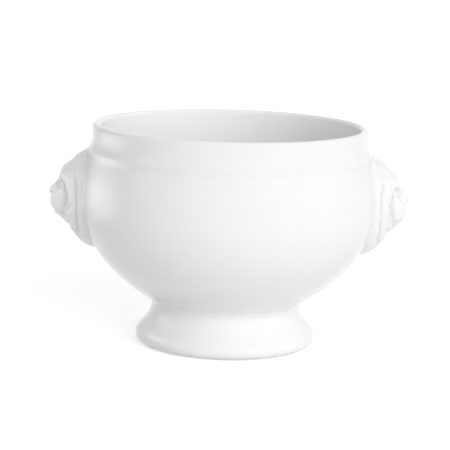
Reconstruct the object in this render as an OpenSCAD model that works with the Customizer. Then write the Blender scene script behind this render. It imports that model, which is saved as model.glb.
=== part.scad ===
/*
French onion soup crock with two lion heads.

A footed bowl of white glazed porcelain. The wall rises from a round belly to
a ledge, a shallow cove and a straight collar with a rounded lip. A hollow
foot carries the bowl and stands on one bare ring. A lion's mask sits on each
side of the belly as a lug to lift the crock by.

The crock is made as stuck-up ware: the bowl, the foot and the two masks are
formed apart and joined with slip before firing. Each slip joint is a piece
of its own here, and so is each formed part.

Measures are in millimetres. The origin is the middle of the ring on which the
crock stands, +Z is up and the masks look along +X and -X.
*/

/* [Bowl] */
// Outside diameter of the rim
rim_d = 121; // [101:1:141]
// Height from the table to the top of the lip
total_h = 97; // [82:0.5:112]
// Thickness of the rounded lip
lip_t = 3.6; // [3:0.1:4.2]
// Distance from the top of the lip down to where the collar starts to flare
collar_h = 5; // [4:0.1:6]
// Distance from the top of the lip down to the ledge between cove and belly
ledge_drop = 12.3; // [10.5:0.1:14.5]
// How far the ledge stands out beyond the rim
ledge_out = 2.2; // [1.6:0.1:3.1]
// How far the wall steps back under the ledge
ledge_step = 0.15; // [0.05:0.05:0.4]
// Height over which the ledge swells out from that step
ledge_h = 2.2; // [1.6:0.1:3]
// How far the belly stands out beyond the rim
belly_out = 4.6; // [3.7:0.1:6]
// Thickness of the wall at the belly
wall_t = 4.4; // [3.6:0.1:5.2]
// Thickness of the bowl's floor in the middle
floor_t = 6; // [5:0.1:7]

/* [Foot] */
// Diameter of the waist where the foot meets the bowl
waist_d = 65.8; // [56:0.2:74]
// Height of the joint between bowl and foot
joint_z = 18.5; // [15.5:0.1:21.5]
// Largest diameter of the foot
foot_d = 80; // [72:0.5:92]
// Height at which the foot is widest
foot_wide_z = 3.5; // [2.8:0.1:4.2]
// Width of the bare ring on which the crock stands
bare_ring_w = 3.2; // [2.6:0.1:3.8]
// Thickness of the foot's wall at the waist
foot_wall_t = 5; // [4.2:0.1:5.8]

/* [Lion masks] */
// Width of a mask across the mane
mask_w = 35; // [29:0.5:40]
// Height of a mask from the crown to the tip of the beard
mask_h = 44.3; // [37:0.1:51]
// How far the crown reaches up over the ledge
crown_over_ledge = 0.4; // [0.1:0.1:1.2]
// Depth of the relief on which the face is built
mask_depth = 14.2; // [11:0.2:17]
// Height given to the locks of the mane, of which the soft creases between them take over half
lock_h = 0.7; // [0.35:0.05:1.3]
// Thickness of a mask at its edge
mask_edge_t = 0.5; // [0.4:0.1:0.8]
// Facets around a mask
mask_facets = 84; // [60:4:84]
// Rings of facets from the nose to the edge of a mask
mask_rings = 26; // [20:1:26]

/* [Joints] */
// Thickness of the slip in each joint
slip_t = 0.4; // [0.3:0.1:0.6]
// Gap left on each side of the slip so that no two pieces overlap
seat_gap = 0.1; // [0.1:0.01:0.14]

/* [Hidden] */
$fn = 96;
rim_r = rim_d / 2;
lip_r = lip_t / 2;
ledge_r = rim_r + ledge_out;
ledge_z = total_h - ledge_drop;
collar_z = total_h - collar_h;
belly_r = rim_r + belly_out;
// The belly is widest at this share of the way from the foot's joint up to the ledge
belly_height_share = 0.683;
belly_z = joint_z + belly_height_share * (ledge_z - joint_z);
waist_r = waist_d / 2;
foot_r = foot_d / 2;
under_z = joint_z + slip_t / 2 + seat_gap;
foot_top_z = joint_z - slip_t / 2 - seat_gap;
foot_inner_r = waist_r - foot_wall_t;
// The foot's lower edge rounds in to the bare ring by this share of the height it rounds over
foot_round_share = 1.3;
foot_round_w = foot_round_share * foot_wide_z;
ring_outer_r = foot_r - foot_round_w;
ring_inner_r = ring_outer_r - bare_ring_w;
// The bowl's underside is a shallow dish between the foot's walls
dish_share = 0.3;
dish_depth = dish_share * foot_wall_t;
floor_z = under_z + dish_depth + floor_t;
// The nose stands a little nearer to the crown than to the tip of the beard
crown_height_share = 0.476;
mask_half_w = mask_w / 2;
mask_up = crown_height_share * mask_h;
mask_down = mask_h - mask_up;
mask_z = ledge_z + crown_over_ledge - mask_up;
// Space between the bowl's outside and the back of a mask
mask_seat = slip_t + 2 * seat_gap;

// Steps along each curve of the outlines
lip_steps = 8;
cove_steps = 9;
ledge_steps = 4;
shoulder_steps = 7;
belly_steps = 22;
foot_steps = 14;
foot_edge_steps = 5;
foot_hollow_steps = 8;
underside_steps = 4;
inner_steps = 18;

// Smooth rise from 0 at a to 1 at b
function fade(a, b, x) = let (s = min(1, max(0, (x - a) / (b - a)))) s * s * (3 - 2 * s);

// Points of a cubic curve after its first point
function curve(a, b, c, d, steps) = [
  for (i = [1 : steps])
    let (t = i / steps, k = 1 - t)
      pow(k, 3) * a + 3 * k * k * t * b + 3 * k * t * t * c + pow(t, 3) * d
];

// Points of an elliptical arc after its first point
function arc(middle, rx, ry, from, to, steps) = [
  for (i = [1 : steps])
    let (g = from + (to - from) * i / steps) middle + [rx * cos(g), ry * sin(g)]
];

// The bowl's outside from the joint with the foot up to the start of the lip. The pulls say
// how far along a curve's span its ends hold their own direction.
belly_lean = 32;
waist_pull_share = 0.493;
belly_pull_share = 0.49;
shoulder_pull_shares = [0.5, 0.33];
shoulder_lean_share = 0.016;
ledge_pull_share = 0.42;
cove_pull_shares = [0.055, 0.247];
belly_outline = let (
  belly_rise = belly_z - under_z,
  step_r = ledge_r - ledge_step,
  step_z = ledge_z - ledge_h,
  shoulder_rise = step_z - belly_z,
  cove_rise = collar_z - ledge_z
) concat(
  [[waist_r, under_z]],
  curve([waist_r, under_z],
        [waist_r, under_z] + waist_pull_share * waist_r * [cos(belly_lean), sin(belly_lean)],
        [belly_r, belly_z - belly_pull_share * belly_rise],
        [belly_r, belly_z], belly_steps),
  curve([belly_r, belly_z],
        [belly_r, belly_z + shoulder_pull_shares[0] * shoulder_rise],
        [step_r + shoulder_lean_share * shoulder_rise,
         step_z - shoulder_pull_shares[1] * shoulder_rise],
        [step_r, step_z], shoulder_steps),
  curve([step_r, step_z],
        [step_r, step_z + ledge_pull_share * ledge_h],
        [ledge_r, ledge_z - ledge_pull_share * ledge_h],
        [ledge_r, ledge_z], ledge_steps),
  curve([ledge_r, ledge_z],
        [ledge_r, ledge_z + cove_pull_shares[0] * cove_rise],
        [rim_r, ledge_z + cove_pull_shares[1] * cove_rise],
        [rim_r, collar_z], cove_steps)
);

// The bowl's inside from the lip down to the middle of the floor
inner_pull_share = 0.58;
inner_lean_share = 0.62;
bowl_inside = let (
  throat_r = rim_r - lip_t,
  inner_r = belly_r - wall_t
) concat(
  [[throat_r, collar_z]],
  curve([throat_r, collar_z],
        [throat_r, ledge_z],
        [inner_r, belly_z + (ledge_z - belly_z) / 2],
        [inner_r, belly_z], cove_steps),
  curve([inner_r, belly_z],
        [inner_r, belly_z - inner_pull_share * (belly_z - floor_z)],
        [inner_lean_share * inner_r, floor_z],
        [0, floor_z], inner_steps)
);

// The bowl: one revolved outline, lip, collar, cove, ledge, belly and dished underside
module bowl() {
  underside = curve([0, under_z + dish_depth],
                    [foot_inner_r / 2, under_z + dish_depth],
                    [foot_inner_r - dish_depth, under_z],
                    [foot_inner_r, under_z], underside_steps);
  color([0.96, 0.97, 0.96])
    rotate_extrude()
      polygon(concat(
        [[0, under_z + dish_depth]],
        underside,
        belly_outline,
        arc([rim_r - lip_r, total_h - lip_r], lip_r, lip_r, 0, 180, lip_steps),
        bowl_inside
      ));
}

// The hollow foot: waist, flare, rounded edge and the flat bare ring below
foot_pull_shares = [0.61, 0.323];
module foot() {
  flare_h = foot_top_z - foot_wide_z;
  color([0.95, 0.96, 0.95])
    rotate_extrude()
      polygon(concat(
        [[waist_r, foot_top_z]],
        curve([waist_r, foot_top_z],
              [waist_r, foot_top_z - foot_pull_shares[0] * flare_h],
              [foot_r, foot_wide_z + foot_pull_shares[1] * flare_h],
              [foot_r, foot_wide_z], foot_steps),
        arc([ring_outer_r, foot_wide_z], foot_round_w, foot_wide_z, 0, -90,
            foot_edge_steps),
        [[ring_inner_r, 0]],
        curve([ring_inner_r, 0],
              [ring_inner_r, foot_top_z / 3],
              [foot_inner_r, foot_top_z / 2],
              [foot_inner_r, foot_top_z], foot_hollow_steps)
      ));
}

// The slip that joins the foot to the bowl: a flat ring as wide as the foot's wall
module foot_slip_joint() {
  color([0.9, 0.91, 0.9])
    translate([0, 0, joint_z - slip_t / 2])
      difference() {
        cylinder(r = waist_r, h = slip_t);
        translate([0, 0, -slip_t])
          cylinder(r = foot_inner_r, h = 3 * slip_t);
      }
}

// Radius of the bowl's outside at a height, and of the face on which a mask's back rests
bowl_radius_at = [for (p = belly_outline) [p[1], p[0]]];
function bowl_radius(z) = lookup(z, bowl_radius_at);
function seat_radius(z) = max(bowl_radius(z), bowl_radius(z - ledge_step));

// Base of a mask's relief from the nose to the edge, each point being its share of the way
// out and its share of the depth: over the crown, to the sides and down the beard
crown_shares = [[0, 0.8], [0.2, 0.76], [0.3, 0.71], [0.4, 0.55], [0.52, 0.72],
                [0.64, 0.62], [0.75, 0.5], [0.86, 0.345], [0.94, 0.13], [1, 0]];
side_shares = [[0, 0.8], [0.22, 0.77], [0.34, 0.69], [0.46, 0.56], [0.6, 0.45],
               [0.72, 0.29], [0.8, 0.2], [0.88, 0.155], [0.95, 0.09], [1, 0]];
beard_shares = [[0, 0.8], [0.2, 0.8], [0.3, 0.8], [0.4, 0.705], [0.5, 0.62], [0.6, 0.39],
                [0.7, 0.395], [0.8, 0.375], [0.9, 0.265], [0.96, 0.115], [1, 0]];

// The face's forms: how far across and up, half width, half height and rise, all as shares of
// the mask, and the lean in degrees. Those in pairs stand on both sides of the nose.
middle_shares = [
  [0, 0.2, 0.2, 0.26, 0.13, 0],      // bridge of the nose
  [0, 0.09, 0.25, 0.15, 0.12, 0],    // tip of the nose
  [0, -0.03, 0.15, 0.16, 0.06, 0],   // lip under the nose
  [0, -0.11, 0.06, 0.17, -0.04, 0],  // groove in that lip
  [0, -0.385, 0.28, 0.17, 0.1, 0],   // chin
  [0, 0.43, 0.08, 0.16, -0.03, 0]    // furrow between the brows
];
pair_shares = [
  [0.24, 0.42, 0.28, 0.115, 0.075, 16],   // brow
  [0.27, 0.255, 0.21, 0.13, -0.13, 10],   // eye socket
  [0.265, 0.25, 0.13, 0.075, 0.075, 12],  // eyeball
  [0.105, 0.035, 0.08, 0.055, -0.05, 25], // nostril
  [0.17, -0.12, 0.26, 0.28, 0.17, 0],     // pad of the muzzle
  [0.3, -0.27, 0.14, 0.14, 0.05, 20],     // corner of the mouth
  [0.44, 0.04, 0.18, 0.27, 0.085, -10],   // cheek
  [0.6, 0.5, 0.18, 0.15, 0.06, -35],      // ear
  [0.6, 0.49, 0.1, 0.09, -0.05, -35]      // hollow of the ear
];
mouth_share = [0, -0.3, 0.32, 0.06, -0.06, 0];
// The mouth's corners hang lower than its middle by this share of the mask, at the full width
mouth_bend_share = 0.33;

// The mane is two rolls that run down both sides of the face and meet under the chin. The
// lists hold first the inner roll's value and then the outer one's.
roll_start_shares = [0.48, 0.76];
roll_end_shares = [0.76, 0.985];
roll_rise_shares = [0.12, 0.09];
// A roll is full up to the first height over the nose and has sunk in at the second
roll_full_shares = [0.3, 0.5];
roll_gone_shares = [0.62, 0.8];
// Towards the middle of crown and beard the rolls sink in between these sines of the angle
roll_side_shares = [0.05, 0.45];
// Locks on each side of a roll, how they slant, and their depth there and on the smooth crown
roll_locks = [5.5, 7.5];
roll_slants = [3.2, 2.6];
roll_lock_shares = [1, 0.85];
crown_lock_share = 0.35;
lock_level_share = 0.8;
// Share by which the creases between the locks are rounded out
crease_round_share = 0.03;
lock_fade_share = 0.25;
scallop_share = 0.03;
scallop_start_share = 0.72;
outline_power = 2.15;
first_ring_share = 0.07;
back_ring_shares = [1, 0.95, 0.9, 0.85, 0.8, 0.7, 0.45, 0.2];
slip_reach_share = 0.97;

function chord(p, i) = (p[i + 1][1] - p[i][1]) / (p[i + 1][0] - p[i][0]);
function slope(p, i) = let (last = len(p) - 1)
  i == 0 ? chord(p, 0)
  : i == last ? chord(p, last - 1)
  : chord(p, i - 1) * chord(p, i) <= 0 ? 0
  : 2 * chord(p, i - 1) * chord(p, i) / (chord(p, i - 1) + chord(p, i));
function span(p, t, i = 0) = i >= len(p) - 2 || t < p[i + 1][0] ? i : span(p, t, i + 1);

// Height at t on the smooth curve through the points p
function height_at(p, t) =
  let (i = span(p, t), w = p[i + 1][0] - p[i][0], s = (t - p[i][0]) / w, k = 1 - s)
    (1 + 2 * s) * k * k * p[i][1] + s * s * (1 + 2 * k) * p[i + 1][1]
    + s * k * w * (k * slope(p, i) - s * slope(p, i + 1));

// Distance from a mask's middle to its plain outline, at an angle from straight up
function reach(g) = let (tall = cos(g) > 0 ? mask_up : mask_down)
  pow(pow(abs(cos(g)) / tall, outline_power) + pow(abs(sin(g)) / mask_half_w, outline_power),
      -1 / outline_power);

// Locks of the roll i: rounded backs that meet in soft creases, slanting as t grows
function lock(i, g, t) =
  let (turn = roll_locks[i] * min(g, 360 - g)
         + 180 * roll_slants[i] * (t - roll_start_shares[i]))
    pow(pow(sin(turn), 2) + crease_round_share, 1 / 4) - lock_level_share;

// Where the point at share t and angle g lies on a mask seen from the front
function mask_point(g, t) =
  let (scallop = 1 + scallop_share * lock(1, g, 1) * fade(scallop_start_share, 1, t))
    t * reach(g) * scallop * [sin(g), cos(g)];

// Rise of the roll i with its locks at share t, angle g and height up
function roll(i, g, t, up) =
  let (
    q = (t - roll_start_shares[i]) / (roll_end_shares[i] - roll_start_shares[i]),
    low = 1 - fade(roll_full_shares[i] * mask_up, roll_gone_shares[i] * mask_up, up),
    side = fade(roll_side_shares[0], roll_side_shares[1], abs(sin(g))),
    back = roll_rise_shares[i] * mask_depth * side * low * sin(180 * q),
    locks = lock_h * roll_lock_shares[i] * lock(i, g, t)
      * (crown_lock_share + (1 - crown_lock_share) * low)
      * fade(0, lock_fade_share, q) * fade(0, lock_fade_share, 1 - q)
  )
    q <= 0 || q >= 1 ? 0 : back + locks;

// Rise of one rounded form of the face at the point p
function form(p, f) =
  let (across = p[0] - f[0] * mask_half_w,
       up = p[1] - f[1] * mask_up,
       x = (across * cos(f[5]) + up * sin(f[5])) / (f[2] * mask_half_w),
       y = (up * cos(f[5]) - across * sin(f[5])) / (f[3] * mask_up),
       k = max(0, 1 - x * x - y * y))
    f[4] * mask_depth * k * k;

function total(list, i = 0) = i >= len(list) ? 0 : list[i] + total(list, i + 1);

// Relief of a mask over the belly at share t and angle g
function relief(g, t) =
  let (
    p = mask_point(g, t),
    mirrored = [-p[0], p[1]],
    droop = [0, mouth_bend_share * mask_up * pow(p[0] / mask_half_w, 2)],
    base = pow(sin(g), 2) * height_at(side_shares, t)
      + pow(cos(g), 2) * height_at(cos(g) > 0 ? crown_shares : beard_shares, t)
  )
    base * mask_depth
    + roll(0, g, t, p[1])
    + roll(1, g, t, p[1])
    + total([for (f = middle_shares) form(p, f)])
    + total([for (f = pair_shares) form(p, f) + form(mirrored, f)])
    + form(p + droop, mouth_share);

// Depth of the bowl's curved side at a point of the mask, grown by a gap
function side_x(p, r) = sqrt(r * r - p[0] * p[0]);
function front_point(g, t) =
  let (p = mask_point(g, t), z = mask_z + p[1])
    [side_x(p, bowl_radius(z)) + max(relief(g, t), mask_seat + mask_edge_t), p[0], z];
function back_point(g, t) =
  let (p = mask_point(g, t), z = mask_z + p[1])
    [side_x(p, seat_radius(z) + mask_seat), p[0], z];

// A lion's mask: rings of points spread from the nose to the edge, then back under the
// relief on a face that follows the belly
module lion_mask() {
  k_last = mask_facets - 1;
  step = 360 / mask_facets;
  front_shares = [
    for (i = [0 : mask_rings - 1])
      first_ring_share + (1 - first_ring_share) * i / (mask_rings - 1)
  ];
  points = concat(
    [front_point(0, 0)],
    [for (t = front_shares) for (k = [0 : k_last]) front_point(k * step, t)],
    [for (t = back_ring_shares) for (k = [0 : k_last]) back_point(k * step, t)],
    [back_point(0, 0)]
  );
  rings = mask_rings + len(back_ring_shares);
  end = len(points) - 1;
  faces = concat(
    [for (k = [0 : k_last]) [0, 1 + k, 1 + (k + 1) % mask_facets]],
    [
      for (i = [0 : rings - 2])
        for (k = [0 : k_last])
          let (a = 1 + i * mask_facets, b = a + mask_facets, n = (k + 1) % mask_facets)
            each [[a + k, b + k, b + n], [a + k, b + n, a + n]]
    ],
    [
      for (k = [0 : k_last])
        let (a = 1 + (rings - 1) * mask_facets)
          [a + k, end, a + (k + 1) % mask_facets]
    ]
  );
  polyhedron(points, faces, convexity = 6);
}

// The slip behind a mask: a skin over the belly, wiped level with the mask's outline
module mask_slip() {
  facets = mask_facets / 2;
  inside = [for (p = belly_outline) p + [seat_gap, 0]];
  outside = [for (p = belly_outline) p + [seat_gap + slip_t, 0]];
  last = len(outside) - 1;
  intersection() {
    rotate_extrude()
      polygon(concat(inside, [for (i = [0 : last]) outside[last - i]]));
    translate([0, 0, mask_z])
      rotate([90, 0, 90])
        linear_extrude(height = rim_d)
          polygon([for (k = [0 : facets - 1]) slip_reach_share * reach(k * 360 / facets)
            * [sin(k * 360 / facets), cos(k * 360 / facets)]]);
  }
}

module lion_head_right() {
  color([0.97, 0.98, 0.97])
    lion_mask();
}

module lion_head_left() {
  color([0.97, 0.98, 0.97])
    rotate([0, 0, 180])
      lion_mask();
}

module right_head_slip_joint() {
  color([0.9, 0.91, 0.9])
    mask_slip();
}

module left_head_slip_joint() {
  color([0.9, 0.91, 0.9])
    rotate([0, 0, 180])
      mask_slip();
}

bowl();
foot();
foot_slip_joint();
lion_head_left();
left_head_slip_joint();
lion_head_right();
right_head_slip_joint();
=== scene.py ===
import math

import bpy
import numpy as np
from mathutils import Matrix, Vector


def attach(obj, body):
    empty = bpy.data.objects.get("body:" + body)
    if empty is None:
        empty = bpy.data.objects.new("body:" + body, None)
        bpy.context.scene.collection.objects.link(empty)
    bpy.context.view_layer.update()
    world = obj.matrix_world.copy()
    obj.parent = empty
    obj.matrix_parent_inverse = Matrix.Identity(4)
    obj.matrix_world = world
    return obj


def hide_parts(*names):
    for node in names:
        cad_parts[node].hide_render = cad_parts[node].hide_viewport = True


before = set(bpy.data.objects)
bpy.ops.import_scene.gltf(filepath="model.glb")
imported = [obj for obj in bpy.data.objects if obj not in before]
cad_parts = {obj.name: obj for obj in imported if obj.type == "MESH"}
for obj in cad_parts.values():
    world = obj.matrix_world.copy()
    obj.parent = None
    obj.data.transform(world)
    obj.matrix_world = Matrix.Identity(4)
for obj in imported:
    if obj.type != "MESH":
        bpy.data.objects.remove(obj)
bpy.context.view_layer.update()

MM = 0.001

# Sizes of the bowl in millimetres. R is a distance from the axis and Z a height over the table.
TOTAL_H = 97.0
RIM_R = 60.5
LIP_R = 1.8             # rounding of the lip, half the collar's thickness
COLLAR_Z = 92.0         # lower end of the straight collar
CREST_R = 62.18         # where the ledge swells out most
CREST_Z = 85.2
DIP_R = 62.08           # shallow dip under the ledge
DIP_Z = 82.0
LEDGE_Z = 84.7          # height from which the belly and the masks are set out
BELLY_R = 65.1
WAIST_R = 32.9
WALL_T = 4.4
FLOOR_T = 6.0

# Foot, and the slip that joins it to the bowl
JOINT_Z = 18.5
SLIP_T = 0.4
SEAT_GAP = 0.1          # play between the slip and each of the two pieces it joins
FOOT_R = 40.0
FOOT_WIDE_Z = 3.5
FOOT_WALL_T = 5.0
BARE_RING_W = 3.2
WIPE = 1.9              # how far the slip is wiped down the foot, and out under the belly
SINK = 0.03             # how far the ends of wiped slip lie under the glaze
SLIP_BACK = 1.0         # how far the back of the wiped slip lies in from the waist

# Masks. The nose stands nearer to the crown than to the tip of the beard
MASK_HALF_W = 17.5
MASK_H = 44.3
MASK_DEPTH = 14.2
CROWN_HEIGHT_SHARE = 0.476
CROWN_OVER_LEDGE = 0.4
MASK_UP = CROWN_HEIGHT_SHARE * MASK_H
MASK_DOWN = MASK_H - MASK_UP
MASK_Z = LEDGE_Z + CROWN_OVER_LEDGE - MASK_UP

# Sizes that follow from these. The belly is widest at a share of the way from the joint up to
# the ledge, the foot rounds in to its bare ring, and the bowl's underside is a shallow dish
BELLY_HEIGHT_SHARE = 0.683
FOOT_ROUND_SHARE = 1.3
DISH_SHARE = 0.3
BELLY_Z = JOINT_Z + BELLY_HEIGHT_SHARE * (LEDGE_Z - JOINT_Z)
UNDER_Z = JOINT_Z + SLIP_T / 2 + SEAT_GAP
FOOT_TOP_Z = JOINT_Z - SLIP_T / 2 - SEAT_GAP
FOOT_INNER_R = WAIST_R - FOOT_WALL_T
FOOT_ROUND_W = FOOT_ROUND_SHARE * FOOT_WIDE_Z
RING_OUTER_R = FOOT_R - FOOT_ROUND_W
RING_INNER_R = RING_OUTER_R - BARE_RING_W
DISH = DISH_SHARE * FOOT_WALL_T
FLOOR_Z = UNDER_Z + DISH + FLOOR_T

# How far each outline is pulled at its ends, as shares of the height or width that it spans
BELLY_LEAN = 32         # degrees over the level at which the belly leaves the waist
BELLY_LOW_PULL = 0.493  # as a share of the waist's radius
BELLY_HIGH_PULL = 0.49
SHOULDER_PULL = 0.5
DIP_PULL = (0.06, 0.25)     # inwards and up, where the outline passes the dip
CREST_LOW_PULL = 0.45
CREST_HIGH_PULL = 0.2
COLLAR_PULL = 0.33
INSIDE_PULL = 0.58
FLOOR_PULL = 0.62
FOOT_HIGH_PULL = 0.61
FOOT_LOW_PULL = 0.323
WIPE_PULL = 0.75

# Steps along each stretch of an outline, and columns round the axis
BELLY_STEPS, SHOULDER_STEPS, BEAD_STEPS, COVE_STEPS = 96, 30, 18, 48
INSIDE_HIGH_STEPS, INSIDE_LOW_STEPS, UNDER_STEPS = 16, 40, 14
FOOT_STEPS, HOLLOW_STEPS, WIPE_STEPS, ROUND_STEPS = 90, 40, 16, 28
COLUMNS, BOWL_COLUMNS = 360, 320
TINY = 1e-9             # anything smaller counts as nothing


def curve(a, b, c, d, steps):
    """Cubic curve from a to d pulled towards b and c: the sum of the four points, each
    weighted by its Bernstein polynomial in t, at even steps of t, the first point left out."""
    t = np.linspace(0, 1, steps + 1)[1:, None]
    a, b, c, d = (np.asarray(p, float) for p in (a, b, c, d))
    k = 1 - t
    return k**3 * a + 3 * k * k * t * b + 3 * k * t * t * c + t**3 * d


def arc(middle, rx, ry, start, end):
    """Elliptical arc: middle plus (rx cos g, ry sin g) for g from start to end in degrees."""
    g = np.radians(np.linspace(start, end, ROUND_STEPS + 1)[1:])[:, None]
    return np.asarray(middle, float) + np.concatenate([rx * np.cos(g), ry * np.sin(g)], 1)


def belly_outline():
    """The bowl's outside from the waist up to the collar, as four cubic curves end to end:
    belly, shoulder, the ledge that swells out, and the cove under the collar."""
    rise = BELLY_Z - UNDER_Z
    up = DIP_Z - BELLY_Z
    bead = CREST_Z - DIP_Z
    cove = COLLAR_Z - CREST_Z
    lean = math.radians(BELLY_LEAN)
    away = BELLY_LOW_PULL * WAIST_R * np.array([math.cos(lean), math.sin(lean)])
    waist = np.array([WAIST_R, UNDER_Z])
    dip = np.array([DIP_R, DIP_Z])
    past_dip = np.array([-DIP_PULL[0], DIP_PULL[1]])
    return np.concatenate([
        [waist],
        curve(waist, waist + away, (BELLY_R, BELLY_Z - BELLY_HIGH_PULL * rise),
              (BELLY_R, BELLY_Z), BELLY_STEPS),
        curve((BELLY_R, BELLY_Z), (BELLY_R, BELLY_Z + SHOULDER_PULL * up),
              dip - up * past_dip, dip, SHOULDER_STEPS),
        curve(dip, dip + bead * past_dip, (CREST_R, CREST_Z - CREST_LOW_PULL * bead),
              (CREST_R, CREST_Z), BEAD_STEPS),
        curve((CREST_R, CREST_Z), (CREST_R, CREST_Z + CREST_HIGH_PULL * cove),
              (RIM_R, CREST_Z + COLLAR_PULL * cove), (RIM_R, COLLAR_Z), COVE_STEPS),
    ])


def bowl_inside():
    """The bowl's inside from the collar down to the middle of the floor, two cubic curves."""
    throat = RIM_R - 2 * LIP_R
    inner = BELLY_R - WALL_T
    return np.concatenate([
        [(throat, COLLAR_Z)],
        curve((throat, COLLAR_Z), (throat, LEDGE_Z),
              (inner, BELLY_Z + (LEDGE_Z - BELLY_Z) / 2), (inner, BELLY_Z), INSIDE_HIGH_STEPS),
        curve((inner, BELLY_Z), (inner, BELLY_Z - INSIDE_PULL * (BELLY_Z - FLOOR_Z)),
              (FLOOR_PULL * inner, FLOOR_Z), (0, FLOOR_Z), INSIDE_LOW_STEPS),
    ])


OUTSIDE = belly_outline()


def bowl_radius(z):
    """Radius of the bowl's outside at the height z, read off its outline."""
    return np.interp(z, OUTSIDE[:, 1], OUTSIDE[:, 0])


def add_mesh(name, points, quads, tris, material, slot, node):
    """Puts arrays of points in millimetres and of faces into a mesh object at the origin."""
    points = np.asarray(points, np.float32) * MM
    corners = np.concatenate([np.asarray(quads, np.int32).ravel(),
                              np.asarray(tris, np.int32).ravel()])
    sizes = np.repeat(np.array([4, 3], np.int32), [len(quads), len(tris)])
    starts = np.concatenate([[0], np.cumsum(sizes)[:-1]]).astype(np.int32)
    mesh = bpy.data.meshes.new(name)
    mesh.vertices.add(len(points))
    mesh.vertices.foreach_set("co", points.ravel())
    mesh.loops.add(len(corners))
    mesh.loops.foreach_set("vertex_index", corners)
    mesh.polygons.add(len(sizes))
    mesh.polygons.foreach_set("loop_start", starts)
    mesh.polygons.foreach_set("use_smooth", np.ones(len(sizes), bool))
    mesh.update(calc_edges=True)
    mesh.validate()
    piece = bpy.data.objects.new(name, mesh)
    bpy.context.scene.collection.objects.link(piece)
    mesh.materials.append(material)
    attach(piece, "root")
    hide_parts(node)
    return piece


def grid_faces(rows, columns, poles):
    """Quads between each row of points and the next, each row being closed on itself. With
    poles, triangles join the first row to the point after the grid and the last row to the
    point after that one. Without them, quads join the last row to the first."""
    k = np.arange(columns)
    n = (k + 1) % columns
    a = np.arange(rows - 1)[:, None] * columns
    quads = np.stack([a + k, a + n, a + columns + n, a + columns + k], -1).reshape(-1, 4)
    last = (rows - 1) * columns
    if poles:
        pole = np.full(columns, rows * columns)
        return quads, np.concatenate([np.stack([pole, n, k], -1),
                                      np.stack([last + k, last + n, pole + 1], -1)])
    closing = np.stack([last + k, last + n, n, k], -1)
    return np.concatenate([quads, closing]), np.zeros((0, 3), int)


def lathe(name, outline, material, slot, node, columns=COLUMNS):
    """Surface of revolution: each point (r, z) of the closed outline goes round to
    (r cos g, r sin g, z). An outline that starts and ends on the axis gets two poles,
    and any other is joined from its last point to its first."""
    outline = np.asarray(outline, float)
    g = np.linspace(0, 2 * np.pi, columns, endpoint=False)
    on_axis = outline[0, 0] < TINY and outline[-1, 0] < TINY
    rows = outline[1:-1] if on_axis else outline
    r, z = rows[:, 0][:, None], rows[:, 1][:, None]
    points = np.stack([r * np.cos(g), r * np.sin(g), np.repeat(z, columns, 1)], -1)
    points = points.reshape(-1, 3)
    if on_axis:
        points = np.concatenate([points, [[0, 0, outline[0, 1]], [0, 0, outline[-1, 1]]]])
    return add_mesh(name, points, *grid_faces(len(rows), columns, on_axis),
                    material, slot, node)


# Finishes. Colours are shares of full white, and the heights of waves are metres
WHITE = (0.908, 0.918, 0.914)
CLOUD_TINT = (0.985, 0.992, 0.996)
# Darker, cooler tint painted into the hollows of the relief: painted shade, partly also glaze
# gathered there
POOL_SHADE_TINT = (0.84, 0.862, 0.857)
SPECK_R = 0.035         # as a share of the usual distance between specks
SPECK_TONE = 0.93
BARE_DARK = (0.80, 0.78, 0.73)
BARE_LIGHT = (0.86, 0.85, 0.81)
GRAIN_H = 0.00004


def new_material(name):
    """New material, its nodes, its links and its Principled shader."""
    material = bpy.data.materials.new(name)
    material.use_nodes = True
    nodes = material.node_tree.nodes
    return material, nodes, material.node_tree.links, nodes["Principled BSDF"]


def texture(nodes, links, kind, output, **settings):
    """Output of a texture node that reads the Object coordinates, with inputs set by name."""
    place = nodes.new("ShaderNodeTexCoord")
    pattern = nodes.new(kind)
    for socket, value in settings.items():
        pattern.inputs[socket].default_value = value
    links.new(place.outputs["Object"], pattern.inputs["Vector"])
    return pattern.outputs[output]


def mixed(nodes, links, a, b, factor, kind="MIX"):
    """Colour from two others by a factor. Each of the three is a value or a node's output."""
    mix = nodes.new("ShaderNodeMix")
    mix.data_type = "RGBA"
    mix.blend_type = kind
    for socket, value in (("A", a), ("B", b), ("Factor", factor)):
        if isinstance(value, bpy.types.NodeSocket):
            links.new(value, mix.inputs[socket])
        else:
            mix.inputs[socket].default_value = value
    return mix.outputs["Result"]


def bumped(nodes, links, height, strength, distance):
    """Normal that follows a height texture."""
    bump = nodes.new("ShaderNodeBump")
    bump.inputs["Strength"].default_value = strength
    bump.inputs["Distance"].default_value = distance
    links.new(height, bump.inputs["Height"])
    return bump.outputs["Normal"]


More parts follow.
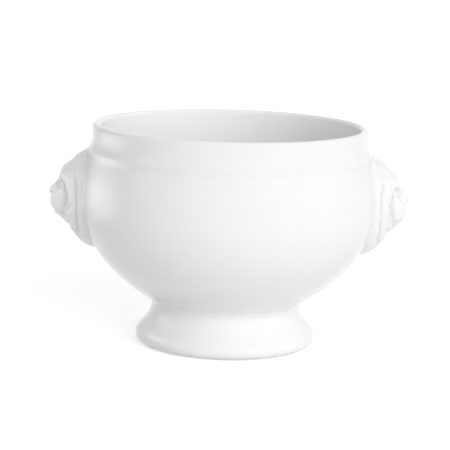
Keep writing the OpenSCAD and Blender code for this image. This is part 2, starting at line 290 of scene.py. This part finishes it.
def glazed_porcelain(name, softness, waves):
    """White body under a clear glossy glaze: faint clouds of warmer and cooler white, a few
    pin-sized specks, a soft unevenness of the surface where the glaze has run, and a darker,
    cooler tint where a point attribute says that the surface lies in a hollow: painted shade,
    partly also glaze gathered there."""
    material, nodes, links, shader = new_material(name)
    clouds = texture(nodes, links, "ShaderNodeTexNoise", "Fac", Scale=22, Detail=3)
    cloudy = tuple(w * c for w, c in zip(WHITE, CLOUD_TINT))
    body = mixed(nodes, links, (*WHITE, 1), (*cloudy, 1), clouds)
    specks = nodes.new("ShaderNodeMapRange")
    specks.inputs["From Max"].default_value = SPECK_R
    specks.inputs["To Min"].default_value = SPECK_TONE
    links.new(texture(nodes, links, "ShaderNodeTexVoronoi", "Distance", Scale=110),
              specks.inputs["Value"])
    speckled = mixed(nodes, links, body, specks.outputs["Result"], 1, "MULTIPLY")
    # Painted shade: the base colour is darkened and cooled in the relief's hollows, partly also
    # as a tint of glaze gathered there
    pool_shade = nodes.new("ShaderNodeAttribute")
    pool_shade.attribute_name = "pool_shade"
    links.new(mixed(nodes, links, speckled, (*POOL_SHADE_TINT, 1), pool_shade.outputs["Fac"], "MULTIPLY"),
              shader.inputs["Base Color"])
    shader.inputs["Roughness"].default_value = 0.2
    shader.inputs["Specular IOR Level"].default_value = 0.1
    shader.inputs["Coat Weight"].default_value = 0.6
    shader.inputs["Coat Roughness"].default_value = softness
    run = texture(nodes, links, "ShaderNodeTexNoise", "Fac", Scale=60, Detail=2)
    normal = bumped(nodes, links, run, strength=0.35, distance=waves)
    links.new(normal, shader.inputs["Normal"])
    links.new(normal, shader.inputs["Coat Normal"])
    return material


def bare_porcelain(name):
    """Unglazed foot ring: dry, slightly warm, with a fine grain."""
    material, nodes, links, shader = new_material(name)
    grain = texture(nodes, links, "ShaderNodeTexNoise", "Fac", Scale=900, Detail=4)
    links.new(mixed(nodes, links, (*BARE_DARK, 1), (*BARE_LIGHT, 1), grain),
              shader.inputs["Base Color"])
    shader.inputs["Roughness"].default_value = 0.75
    links.new(bumped(nodes, links, grain, strength=0.5, distance=GRAIN_H),
              shader.inputs["Normal"])
    return material


glaze = glazed_porcelain("clear_glaze_on_bowl", softness=0.08, waves=0.00006)
relief_glaze = glazed_porcelain("clear_glaze_on_relief", softness=0.16, waves=0.00004)
bare = bare_porcelain("bare_foot_ring")

# Bowl: dished underside, outside, lip, inside
lathe("bowl_glazed", np.concatenate([
    [(0, UNDER_Z + DISH)],
    curve((0, UNDER_Z + DISH), (FOOT_INNER_R / 2, UNDER_Z + DISH),
          (FOOT_INNER_R - DISH, UNDER_Z), (FOOT_INNER_R, UNDER_Z), UNDER_STEPS),
    OUTSIDE,
    arc((RIM_R - LIP_R, TOTAL_H - LIP_R), LIP_R, LIP_R, 0, 180),
    bowl_inside()]), glaze, "glazed_body", "bowl", BOWL_COLUMNS)

# Foot: bare ring, hollow, top, flared side and rounded edge
foot_top = np.array([WAIST_R, FOOT_TOP_Z])
foot_rise = FOOT_TOP_Z - FOOT_WIDE_Z
foot_side = curve(foot_top, foot_top - (0, FOOT_HIGH_PULL * foot_rise),
                  (FOOT_R, FOOT_WIDE_Z + FOOT_LOW_PULL * foot_rise), (FOOT_R, FOOT_WIDE_Z),
                  FOOT_STEPS)
foot = lathe("foot_glazed", np.concatenate([
    [(RING_OUTER_R, 0), (RING_INNER_R, 0)],
    curve((RING_INNER_R, 0), (RING_INNER_R, FOOT_TOP_Z / 3),
          (FOOT_INNER_R, FOOT_TOP_Z / 2), (FOOT_INNER_R, FOOT_TOP_Z), HOLLOW_STEPS),
    [foot_top], foot_side,
    arc((RING_OUTER_R, FOOT_WIDE_Z), FOOT_ROUND_W, FOOT_WIDE_Z, 0, -90)[:-1]])[::-1],
    glaze, "glazed_foot", "foot")
foot.data.materials.append(bare)
middles = np.zeros(3 * len(foot.data.polygons), np.float32)
foot.data.polygons.foreach_get("center", middles)
on_table = middles[2::3] < TINY
foot.data.polygons.foreach_set("material_index", on_table.astype(np.int32))

# Slip wiped into the waist: a concave curve that leaves the foot upright and runs into the
# belly along its slope
low_z = FOOT_TOP_Z - WIPE
low_end = np.array([np.interp(-low_z, -foot_side[:, 1], foot_side[:, 0]) - SINK, low_z])
high_i = np.searchsorted(OUTSIDE[:BELLY_STEPS, 0], WAIST_R + WIPE)
high_end = OUTSIDE[high_i] + (0, SINK)
along = OUTSIDE[high_i] - OUTSIDE[high_i - 1]
along = along / np.hypot(*along)
lathe("foot_slip", np.concatenate([
    [(WAIST_R - SLIP_BACK, low_z), low_end],
    curve(low_end, low_end + (0, WIPE_PULL * WIPE), high_end - WIPE_PULL * WIPE * along,
          high_end, WIPE_STEPS),
    [(WAIST_R - SLIP_BACK, high_end[1])]]), glaze, "slip", "foot_slip_joint")

# Lion masks. Base of the relief over the crown, to the sides and down the beard: each point is
# its share of the way out from the mask's middle and its share of the depth
CROWN = [(0, 0.8), (0.2, 0.79), (0.3, 0.745), (0.41, 0.7), (0.53, 0.725), (0.64, 0.645),
         (0.75, 0.495), (0.86, 0.37), (0.94, 0.16), (1, 0.03)]
SIDES = [(0, 0.8), (0.2, 0.77), (0.32, 0.69), (0.415, 0.585), (0.46, 0.44), (0.505, 0.425),
         (0.55, 0.412), (0.65, 0.36), (0.755, 0.285), (0.8, 0.16), (0.84, 0.12),
         (0.878, 0.165), (0.91, 0.155), (0.955, 0.11), (1, 0.06)]
BEARD = [(0, 0.8), (0.1, 0.83), (0.2, 0.835), (0.3, 0.83), (0.4, 0.715), (0.5, 0.64),
         (0.57, 0.53), (0.63, 0.48), (0.7, 0.475), (0.8, 0.45), (0.9, 0.35), (0.96, 0.2),
         (1, 0.05)]
# Forms: across, up, half width, half height and rise as shares of the mask, lean in degrees
MIDDLE_FORMS = [
    (0, 0.17, 0.2, 0.22, 0.1, 0),       # bridge of the nose
    (0, 0.09, 0.25, 0.15, 0.12, 0),     # tip of the nose
    (0, -0.03, 0.15, 0.16, 0.06, 0),    # lip under the nose
    (0, -0.11, 0.06, 0.17, -0.04, 0),   # groove in that lip
    (0, -0.385, 0.28, 0.17, 0.1, 0),    # chin
    (0, 0.43, 0.08, 0.16, -0.03, 0),    # furrow between the brows
]
PAIR_FORMS = [
    (0.24, 0.42, 0.28, 0.115, 0.075, 16),    # brow
    (0.27, 0.255, 0.21, 0.13, -0.13, 10),    # eye socket
    (0.265, 0.25, 0.13, 0.075, 0.075, 12),   # eyeball
    (0.262, 0.25, 0.035, 0.028, -0.02, 0),   # pupil
    (0.105, 0.035, 0.08, 0.055, -0.05, 25),  # nostril
    (0.17, -0.12, 0.26, 0.28, 0.17, 0),      # pad of the muzzle
    (0.3, -0.27, 0.14, 0.14, 0.05, 20),      # corner of the mouth
    (0.33, 0.02, 0.13, 0.27, 0.06, -10),     # cheek
    (0.6, 0.5, 0.18, 0.15, 0.06, -35),       # ear
    (0.6, 0.49, 0.1, 0.09, -0.05, -35),      # hollow of the ear
]
MOUTH = (0, -0.3, 0.32, 0.07, -0.04, 0)
MOUTH_DROOP = 0.33      # how far it would hang at the mask's full width, as a share of MASK_UP
# The mane's two rolls, inner and outer: start and end on the way out, rise, height up to which
# a roll is full and height where it has sunk in, locks on each side, their slant and depth
ROLLS = [(0.46, 0.825, 0.03, 0.3, 0.62, 5.5, 3.2, 1.0),
         (0.825, 1.0, 0.015, 0.5, 0.8, 7.5, 2.6, 0.85)]
ROLL_SIDE = (0.05, 0.45)     # sines of the angles between which a roll rises from the middle
LOCK_H = 1.0
LOCK_CREASE = 0.05      # softening of the creases between locks
LOCK_LEVEL = 0.82       # usual height of a lock, which the base already has
LOCK_EASE = 0.4         # share of a roll's width over which its locks rise at either edge
LOCK_ON_CROWN = 0.8     # share of the locks' depth that is left over the crown
SWELL_FROM = 0.72       # where on the way out the mask's outline starts to follow its locks
EDGE_SWELL = 0.03
# The valley between the rolls is carried on down beside the beard: its place on the way out,
# its depth in millimetres, its width, and the cosines and sines between which it fades in
VALLEY_AT = ROLLS[1][0] + 0.01
VALLEY_H = 1.0
VALLEY_W = 0.045
VALLEY_BELOW = (0.12, 0.7)
VALLEY_BESIDE = (0.08, 0.4)
# Painted shade in hollows, partly also glaze gathered there: width of the neighbourhood as a
# # share of the mask, depth in millimetres below its mean at which a hollow is fully shaded,
# and
# # where the shading ends near the edge
POOL_SHADE_SHARE = 0.1
POOL_SHADE_H = 0.55
POOL_SHADE_END = (0.89, 0.95)

# Points round a mask, rings from the nose to the edge, and where the first ring and the rings
# of the back lie on the way out
HEAD_COLUMNS, HEAD_RINGS, FIRST_RING = 600, 142, 0.012
BACK_RINGS = (0.985, 0.93, 0.86, 0.78, 0.66, 0.5, 0.3, 0.12)
OUTLINE_POWER = 2.15
LEAST_H = 0.8           # least height of the relief
EDGE_FROM = 0.955       # where the edge starts to roll over
EDGE_SINK = 0.25        # how deep the edge goes into the belly
BACK_SINK = 0.6         # how deep the back lies in it
FILLET_W = 1.8
FILLET_H = 0.7
FILLET_TUCK = 0.4       # how far the fillet reaches in under the mask
FILLET_SINK = 0.3       # how deep its underside lies in the belly
FILLET_END_SINK = 0.02  # how deep its thin outer end lies there
FILLET_STEPS = 16


def fade(a, b, x):
    """Smooth rise from 0 at a to 1 at b: 3 s squared less 2 s cubed."""
    s = np.clip((x - a) / (b - a), 0, 1)
    return s * s * (3 - 2 * s)


def through(points, t):
    """Smooth curve through the points: on each span a cubic whose slope at a point is the
    harmonic mean of the straight slopes on both sides of it, or 0 where they turn round, so
    that the curve never overshoots."""
    x, y = np.array(points, float).T
    chord = np.diff(y) / np.diff(x)
    slope = np.zeros(len(x))
    slope[0], slope[-1] = chord[0], chord[-1]
    both = chord[:-1] * chord[1:]
    total = np.where(both > 0, chord[:-1] + chord[1:], 1)
    slope[1:-1] = np.where(both > 0, 2 * both / total, 0)
    i = np.clip(np.searchsorted(x, t, side="right") - 1, 0, len(x) - 2)
    w = x[i + 1] - x[i]
    s = (t - x[i]) / w
    k = 1 - s
    return ((1 + 2 * s) * k * k * y[i] + s * s * (1 + 2 * k) * y[i + 1]
            + s * k * w * (k * slope[i] - s * slope[i + 1]))


def reach(g):
    """Distance from a mask's middle to its outline at the angle g from straight up: a
    superellipse with one height above the middle and another below."""
    tall = np.where(np.cos(g) > 0, MASK_UP, MASK_DOWN)
    return (np.abs(np.cos(g) / tall) ** OUTLINE_POWER
            + np.abs(np.sin(g) / MASK_HALF_W) ** OUTLINE_POWER) ** (-1 / OUTLINE_POWER)


def lock(band, g, t):
    """Rounded backs of a roll's locks: the fourth root of the squared sine of the locks passed
    at the angle g and the share t, plus the softening of the crease, less the usual level."""
    start, count, slant = ROLLS[band][0], ROLLS[band][5], ROLLS[band][6]
    side = np.minimum(g % (2 * np.pi), 2 * np.pi - g % (2 * np.pi))
    turn = count * side + np.pi * slant * (t - start)
    return (np.sin(turn) ** 2 + LOCK_CREASE) ** 0.25 - LOCK_LEVEL


def form(u, v, shape):
    """Rounded bump: (1 - d squared) squared, d being the distance from the form's middle in
    half widths and half heights along its lean."""
    across, up, half_w, half_h, rise, lean = shape
    lean = math.radians(lean)
    du, dv = u - across * MASK_HALF_W, v - up * MASK_UP
    x = (du * math.cos(lean) + dv * math.sin(lean)) / (half_w * MASK_HALF_W)
    y = (dv * math.cos(lean) - du * math.sin(lean)) / (half_h * MASK_UP)
    return rise * MASK_DEPTH * np.maximum(0, 1 - x * x - y * y) ** 2


def mask_point(g, t):
    """Where the share t of the way out lies on a mask seen from the front: the distance out
    times the sine and the cosine of g, with an edge that swells a little at each outer lock."""
    out = t * reach(g) * (1 + EDGE_SWELL * lock(1, g, 1.0) * fade(SWELL_FROM, 1, t))
    return out * np.sin(g), out * np.cos(g)


def roll(band, g, t, v):
    """Rise of one roll of the mane: a squared sine across it, and its locks. The roll fades
    over the crown and towards the middle of the beard, and the locks weaken on the crown."""
    start, end, rise, full, gone, _, _, depth = ROLLS[band]
    q = (t - start) / (end - start)
    low = 1 - fade(full * MASK_UP, gone * MASK_UP, v)
    side = fade(*ROLL_SIDE, np.abs(np.sin(g)))
    back = np.sin(np.pi * np.clip(q, 0, 1)) ** 2
    locks = (LOCK_H * depth * lock(band, g, t)
             * (LOCK_ON_CROWN + (1 - LOCK_ON_CROWN) * low)
             * fade(0, LOCK_EASE, q) * fade(0, LOCK_EASE, 1 - q))
    return rise * MASK_DEPTH * side * low * back + locks


def valley(g, t):
    """Depth of the valley between the rolls beside the beard: a bell curve across it, which
    fades in below the cheeks and out again towards the middle."""
    beside = fade(*VALLEY_BELOW, -np.cos(g)) * fade(*VALLEY_BESIDE, np.abs(np.sin(g)))
    return VALLEY_H * beside * np.exp(-((t - VALLEY_AT) / VALLEY_W) ** 2)


def relief(g, t):
    """Height of a mask over the belly: a base by the three curves, the sides weighted by the
    squared sine of g and the others by its squared cosine, the two rolls of the mane with the
    valley between them, and the forms of the face."""
    u, v = mask_point(g, t)
    c, s = np.cos(g), np.sin(g)
    base = s * s * through(SIDES, t) + c * c * np.where(c > 0, through(CROWN, t),
                                                      through(BEARD, t))
    h = base * MASK_DEPTH + roll(0, g, t, v) + roll(1, g, t, v) - valley(g, t)
    for shape in MIDDLE_FORMS:
        h = h + form(u, v, shape)
    for shape in PAIR_FORMS:
        h = h + form(u, v, shape) + form(-u, v, shape)
    droop = MOUTH_DROOP * MASK_UP * (u / MASK_HALF_W) ** 2
    return h + form(u, v + droop, MOUTH)


def on_belly(u, v, rise):
    """The point u across and v up on a mask's plan, raised by rise from the bowl's outside
    along X: there x is the root of the bowl's radius squared less u squared."""
    z = MASK_Z + v
    return np.stack([np.sqrt(bowl_radius(z) ** 2 - u * u) + rise, u, z], -1)


def pool_shade_share(h, t):
    """How deep in a hollow each point of a relief lies, from 0 to 1, which sets its painted
    shade and its tint of gathered glaze: how far it lies below the mean of its neighbours on
    the way out, weighted by a bell curve, as a share of the depth at which a hollow is fully
    shaded."""
    near = np.exp(-((t - t.T) / POOL_SHADE_SHARE) ** 2)
    hollow = near @ h / near.sum(1, keepdims=True) - h
    return np.clip(hollow / POOL_SHADE_H, 0, 1) * (1 - fade(*POOL_SHADE_END, t))


def lion_head(name, node, side):
    """Relief on rings from the nose out to the edge, an edge that rolls over by the square
    root of 1 - s cubed, and a back that lies just inside the bowl's skin."""
    g = np.linspace(0, 2 * np.pi, HEAD_COLUMNS, endpoint=False)[None]
    t = np.linspace(FIRST_RING, 1, HEAD_RINGS)[:, None]
    g2, t2 = np.broadcast_arrays(g, t)
    h = np.maximum(relief(g2, t2), LEAST_H)
    rolled = np.clip((t2 - EDGE_FROM) / (1 - EDGE_FROM), 0, 1)
    h = (h + EDGE_SINK) * np.sqrt(np.maximum(0, 1 - rolled ** 3)) - EDGE_SINK
    front = on_belly(*mask_point(g2, t2), h)
    g3, t3 = np.broadcast_arrays(g, np.array(BACK_RINGS)[:, None])
    back = on_belly(*mask_point(g3, t3), np.full(g3.shape, -BACK_SINK))
    nose = on_belly(0.0, 0.0, float(relief(np.zeros(1), np.zeros(1))[0]))
    heel = on_belly(0.0, 0.0, -BACK_SINK)
    points = np.concatenate([front.reshape(-1, 3), back.reshape(-1, 3), [nose], [heel]])
    head = add_mesh(name, points * (side, side, 1),
                    *grid_faces(HEAD_RINGS + len(BACK_RINGS), HEAD_COLUMNS, poles=True),
                    relief_glaze, "glazed_relief", node)
    # Depth of each point in a hollow, stored for the painted shade and glaze tint of the
    # relief's material
    pool_shade = np.zeros(len(points), np.float32)
    pool_shade[:h.size] = pool_shade_share(h, t).ravel()
    head.data.attributes.new("pool_shade", "FLOAT", "POINT").data.foreach_set("value", pool_shade)


def slip_fillet(name, node, side):
    """Slip wiped round a mask's edge: a section that leaves the belly flat and climbs the edge
    on a quarter ellipse, carried round the mask's outline and closed underneath."""
    g = np.linspace(0, 2 * np.pi, COLUMNS, endpoint=False)[None]
    s = np.linspace(0, 1, FILLET_STEPS + 1)
    out = np.concatenate([[FILLET_W], FILLET_W - (FILLET_W + SINK) * s, [-FILLET_TUCK]])
    rise = np.concatenate([[-FILLET_SINK],
                           FILLET_H * (1 - np.sqrt(1 - s * s)) - FILLET_END_SINK,
                           [-FILLET_SINK]])
    g2, out2 = np.broadcast_arrays(g, out[:, None])
    rise2 = np.broadcast_to(rise[:, None], g2.shape)
    u, v = mask_point(g2, np.ones(g2.shape))
    length = np.hypot(u, v)
    u, v = u + out2 * u / length, v + out2 * v / length
    points = on_belly(u, v, rise2).reshape(-1, 3) * (side, side, 1)
    quads, tris = grid_faces(len(out), COLUMNS, poles=False)
    add_mesh(name, points, quads[:, ::-1], tris, glaze, "slip", node)


# A side of 1 looks along X, and one of -1 is the same mask turned half round
lion_head("lion_head_right_glazed", "lion_head_right", 1)
lion_head("lion_head_left_glazed", "lion_head_left", -1)
slip_fillet("right_head_slip", "right_head_slip_joint", 1)
slip_fillet("left_head_slip", "left_head_slip_joint", -1)

# Soft lights: azimuth and elevation in degrees, narrowness, strength
LIGHTS = [(20, 20, 12, 2.84), (40, 20, 12, 2.71), (-20, 10, 12, 0.26), (-90, 10, 3, 0.32),
          (-90, 45, 3, 0.36), (-135, 20, 3, 0.2), (-135, 45, 3, 0.1), (135, 45, 3, 0.93)]
# Soft box beside the crock that shows as highlights in the glaze: middle in millimetres,
# azimuth, radius, how much wider it is than high, and strength
BOX_AT = (-168, 10, 64)
BOX_AZIMUTH = -111
BOX_R = 62
BOX_WIDEN = 1.4
BOX_GLOW = 2.3
# White paper under the crock: reach in metres to the sides and the front, and to the back, its
# tone, and the glow that lifts it to white where it is seen or mirrored
PAPER_HALF_W = 4
PAPER_BACK = 6
PAPER_TONE = 0.82
PAPER_LIFT = 0.47
# Camera, from the photograph's perspective: distance and aim in millimetres, focal length in
# the photograph's pixels, its width in pixels, tilt down and roll in degrees
CAMERA_AWAY = 785.5
CAMERA_AIM = (-1.345, 0, 52.14)
FOCAL_PX = 1772.3
PHOTO_PX = 450
CAMERA_TILT = 10.23
CAMERA_ROLL = 1.62
SENSOR_W = 36

scene = bpy.context.scene
scene.view_settings.view_transform = "Standard"


def card_object(name, corners):
    """A flat four-sided object of the stage."""
    mesh = bpy.data.meshes.new(name)
    mesh.from_pydata([(x, y, 0) for x, y in corners], [], [(0, 1, 2, 3)])
    card = bpy.data.objects.new(name, mesh)
    scene.collection.objects.link(card)
    return card


def math_node(nodes, links, operation, a, b):
    """Output of a Math node of two numbers or outputs."""
    node = nodes.new("ShaderNodeMath")
    node.operation = operation
    for socket, value in zip(node.inputs, (a, b)):
        if isinstance(value, bpy.types.NodeSocket):
            links.new(value, socket)
        else:
            socket.default_value = value
    return node.outputs["Value"]


def sum_of(nodes, links, outputs):
    """Adds shader node outputs up in a row of Math nodes."""
    total = outputs[0]
    for output in outputs[1:]:
        total = math_node(nodes, links, "ADD", total, output)
    return total


def plain_rays(nodes, links):
    """1 for the rays that see a background as it is: camera, mirrored and transmitted rays."""
    path = nodes.new("ShaderNodeLightPath").outputs
    total = sum_of(nodes, links, [path["Is Camera Ray"], path["Is Glossy Ray"],
                                  path["Is Transmission Ray"]])
    total.node.use_clamp = True
    return total


def soft_light(nodes, links, toward, azimuth, elevation, narrowness, strength):
    """Large soft light far off: the strength times the cosine of the angle from its middle,
    raised to the narrowness. Azimuth 0 is the camera's side and grows to the right."""
    a, e = math.radians(azimuth), math.radians(elevation)
    angle = nodes.new("ShaderNodeVectorMath")
    angle.operation = "DOT_PRODUCT"
    angle.inputs[1].default_value = (math.sin(a) * math.cos(e), -math.cos(a) * math.cos(e),
                                     math.sin(e))
    links.new(toward, angle.inputs[0])
    ahead = math_node(nodes, links, "MAXIMUM", angle.outputs["Value"], 0)
    falloff = math_node(nodes, links, "POWER", ahead, narrowness)
    return math_node(nodes, links, "MULTIPLY", falloff, strength)


def light_world():
    """World that is plain white for the rays that see it and holds the soft lights for the
    others."""
    world = bpy.data.worlds.new("studio")
    scene.world = world
    world.use_nodes = True
    nodes, links = world.node_tree.nodes, world.node_tree.links
    toward = nodes.new("ShaderNodeTexCoord").outputs["Generated"]
    seen = plain_rays(nodes, links)
    unseen = math_node(nodes, links, "SUBTRACT", 1, seen)
    lights = sum_of(nodes, links, [soft_light(nodes, links, toward, *light)
                                   for light in LIGHTS])
    lit = math_node(nodes, links, "MULTIPLY", lights, unseen)
    sky = nodes["Background"]
    sky.inputs["Color"].default_value = (1, 1, 1, 1)
    links.new(sum_of(nodes, links, [seen, lit]), sky.inputs["Strength"])


def paper():
    """Sheet of white paper on the table's height, which takes the crock's shadow."""
    w = PAPER_HALF_W
    sheet = card_object("floor", [(-w, -w), (w, -w), (w, PAPER_BACK), (-w, PAPER_BACK)])
    material, nodes, links, shader = new_material("white_paper")
    shader.inputs["Base Color"].default_value = (PAPER_TONE, PAPER_TONE, PAPER_TONE, 1)
    shader.inputs["Roughness"].default_value = 0.9
    shader.inputs["Emission Color"].default_value = (1, 1, 1, 1)
    links.new(math_node(nodes, links, "MULTIPLY", plain_rays(nodes, links), PAPER_LIFT),
              shader.inputs["Emission Strength"])
    sheet.data.materials.append(material)


def soft_box():
    """Round soft box: a card that adds its glow to what is mirrored, brightest in its middle,
    as (1 - d squared) squared, d being the distance from its middle in radii."""
    r = BOX_R * MM
    card = card_object("soft_box", [(-r, -r), (r, -r), (r, r), (-r, r)])
    card.location = Vector(BOX_AT) * MM
    card.scale = (BOX_WIDEN, 1, 1)
    card.rotation_euler = (math.radians(90), 0, math.radians(BOX_AZIMUTH))
    card.visible_camera = card.visible_diffuse = card.visible_shadow = False
    material, nodes, links, shader = new_material("soft_box_glow")
    nodes.remove(shader)
    length = nodes.new("ShaderNodeVectorMath")
    length.operation = "LENGTH"
    links.new(nodes.new("ShaderNodeTexCoord").outputs["Object"], length.inputs[0])
    share = math_node(nodes, links, "MULTIPLY", length.outputs["Value"], 1 / r)
    rest = math_node(nodes, links, "SUBTRACT", 1,
                     math_node(nodes, links, "MULTIPLY", share, share))
    rest.node.use_clamp = True
    squared = math_node(nodes, links, "MULTIPLY", rest, rest)
    glow = nodes.new("ShaderNodeEmission")
    links.new(math_node(nodes, links, "MULTIPLY", squared, BOX_GLOW), glow.inputs["Strength"])
    both = nodes.new("ShaderNodeAddShader")
    links.new(glow.outputs["Emission"], both.inputs[0])
    links.new(nodes.new("ShaderNodeBsdfTransparent").outputs["BSDF"], both.inputs[1])
    links.new(both.outputs["Shader"], nodes["Material Output"].inputs["Surface"])
    card.data.materials.append(material)


def place_camera():
    """Camera that looks along Y, tilted down and rolled, at the photograph's perspective."""
    data = bpy.data.cameras.new("camera")
    data.sensor_width = SENSOR_W
    data.lens = SENSOR_W * FOCAL_PX / PHOTO_PX
    camera = bpy.data.objects.new("camera", data)
    scene.collection.objects.link(camera)
    tilt, turn = math.radians(CAMERA_TILT), math.radians(CAMERA_ROLL)
    ahead = Vector((0, math.cos(tilt), -math.sin(tilt)))
    level = Vector((1, 0, 0))
    upright = level.cross(ahead)
    up = upright * math.cos(turn) - level * math.sin(turn)
    across = level * math.cos(turn) + upright * math.sin(turn)
    spot = Vector(CAMERA_AIM) * MM - ahead * CAMERA_AWAY * MM
    camera.matrix_world = Matrix((
        (across.x, up.x, -ahead.x, spot.x),
        (across.y, up.y, -ahead.y, spot.y),
        (across.z, up.z, -ahead.z, spot.z),
        (0, 0, 0, 1)))
    scene.camera = camera


paper()
light_world()
soft_box()
place_camera()
